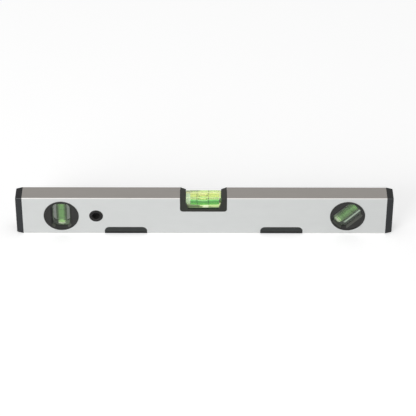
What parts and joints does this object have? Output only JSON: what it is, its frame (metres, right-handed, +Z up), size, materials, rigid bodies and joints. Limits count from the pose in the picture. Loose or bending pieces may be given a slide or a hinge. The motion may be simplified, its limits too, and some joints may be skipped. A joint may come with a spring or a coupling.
{
  "type": "magnetic spirit level",
  "caption": "Slim box-section aluminium level: level vial in a top notch, plumb and angle vials in round windows, a hanging hole, end caps and magnets in its base.",
  "frame": {"origin": "on the measuring base, under the middle of the level's length and depth", "axes": "+X along the level towards its 45 degree vial, +Y from the front face to the back face, +Z up, out of the top face"},
  "size_m": [0.4, 0.0216, 0.0464],
  "materials": {
    "box_aluminium": "satin silver, finely brushed along the length",
    "cap_plastic": "black, fine moulded grain",
    "housing_plastic": "black, satin moulded",
    "holder_plastic": "black, satin moulded",
    "vial_acrylic": "clear, polished",
    "vial_fluid": "clear yellow-green fluid",
    "vial_plug": "pale green, translucent",
    "magnet_metal": "dull grey plated magnet"
  },
  "bodies": {
    "root": {"profile": "box_aluminium", "end_cap_left": "cap_plastic", "end_cap_right": "cap_plastic", "plumb_housing_front": "housing_plastic", "plumb_housing_rear": "housing_plastic", "angle_housing_front": "housing_plastic", "angle_housing_rear": "housing_plastic", "centre_holder": "holder_plastic", "hang_bush": "holder_plastic", "magnet_holder_left": "holder_plastic", "magnet_holder_right": "holder_plastic", "plumb_vial": "vial_acrylic", "plumb_fluid": "vial_fluid", "plumb_plug": "vial_plug", "angle_vial": "vial_acrylic", "angle_fluid": "vial_fluid", "angle_plug": "vial_plug", "centre_vial": "vial_acrylic", "centre_fluid": "vial_fluid", "centre_plug": "vial_plug", "magnet_left": "magnet_metal", "magnet_right": "magnet_metal"}
  },
  "joints": []
}
